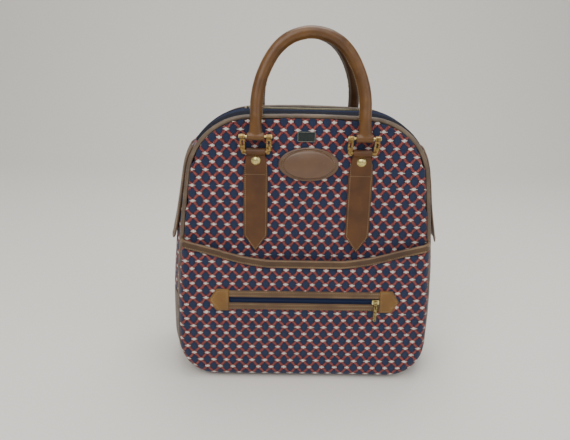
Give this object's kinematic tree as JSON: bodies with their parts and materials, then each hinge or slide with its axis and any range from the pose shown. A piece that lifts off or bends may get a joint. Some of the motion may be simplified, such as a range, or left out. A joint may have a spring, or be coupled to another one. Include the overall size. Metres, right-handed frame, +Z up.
{
  "type": "carpet bag",
  "caption": "Soft-sided D-shaped tapestry travel bag with leather trim, two rolled handles on shackle rings, a slip pocket and a small zip pocket.",
  "frame": {"origin": "centre of the flat bottom, on the surface the bag stands on, halfway between the panels", "axes": "+X to the bag's right in a front view, the front with its pockets faces -Y, +Z up"},
  "size_m": [0.3872, 0.1439, 0.4858],
  "materials": {
    "tapestry": "woven lattice of navy ovals, red diagonals and cream stars",
    "brown_leather": "smooth brown leather with a soft sheen",
    "dark_leather": "darker brown leather",
    "tan_leather": "lighter tan leather, worn",
    "piping_vinyl": "taupe brown vinyl over cord",
    "brown_vinyl": "grained brown vinyl",
    "dark_cloth": "near black navy cloth",
    "zip_cloth": "navy zip tape",
    "brass": "worn brass with pale highlights",
    "board": "stiff fibre board",
    "lining": "plain brown lining",
    "badge": "dark plate with a metal rim, left bare"
  },
  "bodies": {
    "bag": {"front_panel": "tapestry", "back_panel": "tapestry", "side_fabric_left": "tapestry", "side_fabric_right": "tapestry", "pocket_panel": "tapestry", "front_piping": "piping_vinyl", "back_piping": "piping_vinyl", "top_strip_front": "dark_cloth", "top_strip_back": "dark_cloth", "zip_tape_front": "zip_cloth", "zip_tape_back": "zip_cloth", "pocket_zip_tape": "zip_cloth", "side_wing_left": "brown_leather", "side_wing_right": "brown_leather", "pocket_binding": "brown_leather", "pocket_zip_strip_upper": "brown_leather", "pocket_zip_strip_lower": "brown_leather", "oval_patch": "brown_leather", "bottom_gusset": "brown_vinyl", "base_board": "board", "pocket_zip_lining": "lining", "pocket_zip_end_left": "tan_leather", "pocket_zip_end_right": "tan_leather", "zip_teeth_front": "brass", "zip_teeth_back": "brass", "zip_stops": "brass", "badge_plate": "badge", "front_tab_left": "brown_leather", "front_stud_left": "brass", "front_tab_right": "brown_leather", "front_stud_right": "brass", "back_tab_left": "brown_leather", "back_stud_left": "brass", "back_tab_right": "brown_leather", "back_stud_right": "brass"},
    "main_slider": {"zip_slider": "brass"},
    "main_pull": {"zip_pull": "brass"},
    "small_slider": {"pocket_slider": "brass"},
    "small_pull": {"pocket_pull": "brass"},
    "front_handle_body": {"front_handle": "brown_leather"},
    "back_handle_body": {"back_handle": "dark_leather"},
    "front_ring_left_body": {"front_ring_left": "brass", "front_pin_left": "brass"},
    "front_ring_right_body": {"front_ring_right": "brass", "front_pin_right": "brass"},
    "back_ring_left_body": {"back_ring_left": "brass", "back_pin_left": "brass"},
    "back_ring_right_body": {"back_ring_right": "brass", "back_pin_right": "brass"}
  },
  "joints": [
    {"name": "front_ring_left_hinge", "type": "hinge", "parent": "bag", "child": "front_ring_left_body", "pos_m": [-0.069, -0.05325, 0.33202], "axis": [1, 0, 0], "range_deg": [0, 60]},
    {"name": "front_ring_right_hinge", "type": "hinge", "parent": "bag", "child": "front_ring_right_body", "pos_m": [0.069, -0.05325, 0.33202], "axis": [1, 0, 0], "range_deg": [0, 60]},
    {"name": "front_handle_hinge", "type": "hinge", "parent": "front_ring_left_body", "child": "front_handle_body", "pos_m": [0, -0.06168, 0.35288], "axis": [1, 0, 0], "range_deg": [0, 118]},
    {"name": "back_ring_left_hinge", "type": "hinge", "parent": "bag", "child": "back_ring_left_body", "pos_m": [-0.069, 0.05325, 0.33202], "axis": [-1, 0, 0], "range_deg": [0, 60]},
    {"name": "back_ring_right_hinge", "type": "hinge", "parent": "bag", "child": "back_ring_right_body", "pos_m": [0.069, 0.05325, 0.33202], "axis": [-1, 0, 0], "range_deg": [0, 60]},
    {"name": "back_handle_hinge", "type": "hinge", "parent": "back_ring_left_body", "child": "back_handle_body", "pos_m": [0, 0.06168, 0.35288], "axis": [-1, 0, 0], "range_deg": [0, 118]},
    {"name": "main_zip_slide", "type": "slide", "parent": "bag", "child": "main_slider", "axis": [1, 0, 0], "range_m": [0, 0.148]},
    {"name": "main_pull_hinge", "type": "hinge", "parent": "main_slider", "child": "main_pull", "pos_m": [-0.074, 0, 0.38605], "axis": [1, 0, 0], "range_deg": [0, 200]},
    {"name": "pocket_zip_slide", "type": "slide", "parent": "bag", "child": "small_slider", "axis": [-1, 0, 0], "range_m": [0, 0.199]},
    {"name": "pocket_pull_hinge", "type": "hinge", "parent": "small_slider", "child": "small_pull", "pos_m": [0.0995, -0.07475, 0.1259], "axis": [-1, 0, 0], "range_deg": [0, 150]}
  ],
  "couplings": [
    {"joint": "front_ring_right_hinge", "follows": "front_ring_left_hinge", "ratio": 1},
    {"joint": "back_ring_right_hinge", "follows": "back_ring_left_hinge", "ratio": 1}
  ]
}
